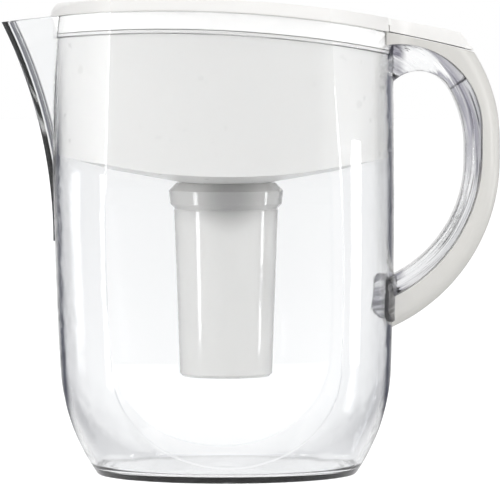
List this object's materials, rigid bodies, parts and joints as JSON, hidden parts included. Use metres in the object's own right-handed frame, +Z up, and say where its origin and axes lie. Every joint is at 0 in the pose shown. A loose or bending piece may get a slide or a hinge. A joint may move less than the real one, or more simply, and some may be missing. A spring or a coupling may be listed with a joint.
{
  "type": "water filter pitcher",
  "caption": "Clear plastic filter pitcher with a spout, a white arched lid with a flip hatch, a funnel reservoir, a hanging filter sleeve with its cartridge, and a two-part loop handle.",
  "frame": {"origin": "centre of the base, on the plane that the foot rests on", "axes": "+Z up, +X towards the handle, so the spout points to -X and the pitcher is symmetric in Y"},
  "size_m": [0.2774, 0.1434, 0.264],
  "materials": {
    "clear_plastic": "clear gloss",
    "cover_white": "satin",
    "tank_white": "satin",
    "sleeve_grey": "gloss",
    "cartridge_white": "satin",
    "seal_grey": "matte",
    "screen_white": "fine mesh",
    "media_black": "granular",
    "lid_white": "satin",
    "pin_steel": "plain"
  },
  "bodies": {
    "pitcher": {"pitcher_body": "clear_plastic", "handle_spine": "clear_plastic", "handle_cover": "cover_white"},
    "reservoir": {"reservoir_tank": "tank_white", "filter_sleeve": "sleeve_grey"},
    "cartridge": {"cartridge_housing": "cartridge_white", "cartridge_cap": "cartridge_white", "seal_ring": "seal_grey", "inlet_screen": "screen_white", "outlet_screen": "screen_white", "filter_media": "media_black"},
    "lid": {"lid_frame": "lid_white", "hinge_pins": "pin_steel"},
    "flip_lid": {"flip_lid": "lid_white"}
  },
  "joints": [
    {"name": "reservoir_lift", "type": "slide", "parent": "pitcher", "child": "reservoir", "axis": [0, 0, 1], "range_m": [0, 0.215]},
    {"name": "cartridge_lift", "type": "slide", "parent": "reservoir", "child": "cartridge", "axis": [0, 0, 1], "range_m": [0, 0.065]},
    {"name": "lid_lift", "type": "slide", "parent": "reservoir", "child": "lid", "axis": [0, 0, 1], "range_m": [0, 0.08]},
    {"name": "flip_hinge", "type": "hinge", "parent": "lid", "child": "flip_lid", "pos_m": [-0.046, 0, 0.26146], "axis": [0, -1, 0], "range_deg": [0, 100]}
  ]
}
